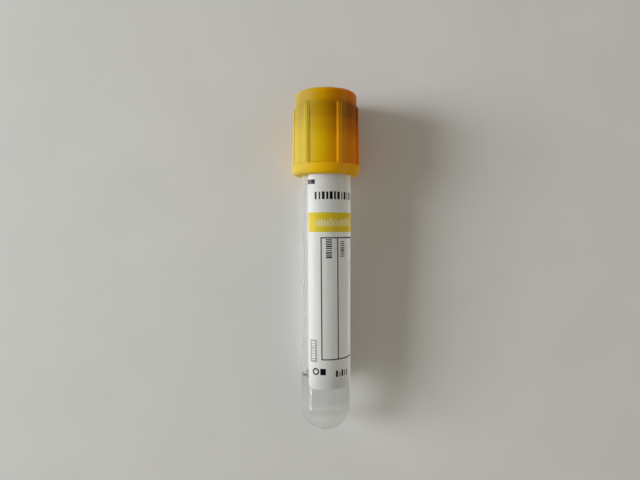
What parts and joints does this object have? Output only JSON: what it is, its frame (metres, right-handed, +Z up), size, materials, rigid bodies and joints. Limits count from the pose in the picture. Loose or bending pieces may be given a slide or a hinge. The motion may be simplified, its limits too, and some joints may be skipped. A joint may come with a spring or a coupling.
{
  "type": "blood collection tube",
  "caption": "Capped evacuated blood collection tube with a round tip, ribbed yellow cap, rubber stopper, separator gel and a wrapped label, lying on its side.",
  "frame": {"origin": "on the floor, under the middle of the part's box", "axes": "+Y runs from the tube's rounded tip towards the cap, +Z is up, and the tube's axis rises about 2 degrees towards the cap"},
  "size_m": [0.0168, 0.084, 0.0168],
  "materials": {
    "clear_plastic": "clear, polished",
    "gel": "translucent, wet",
    "label_film": "white coated film with printed bars and boxes, satin",
    "yellow_plastic": "translucent moulded, satin",
    "stopper_rubber": "matte, slightly dusty"
  },
  "bodies": {
    "tube": {"tube": "clear_plastic", "separator_gel": "gel", "label": "label_film"},
    "closure": {"cap_shell": "yellow_plastic", "rubber_stopper": "stopper_rubber"}
  },
  "joints": [
    {"name": "closure_pull", "type": "slide", "parent": "tube", "child": "closure", "axis": [0, 0.9992, 0.0398], "range_m": [0, 0.02]}
  ]
}
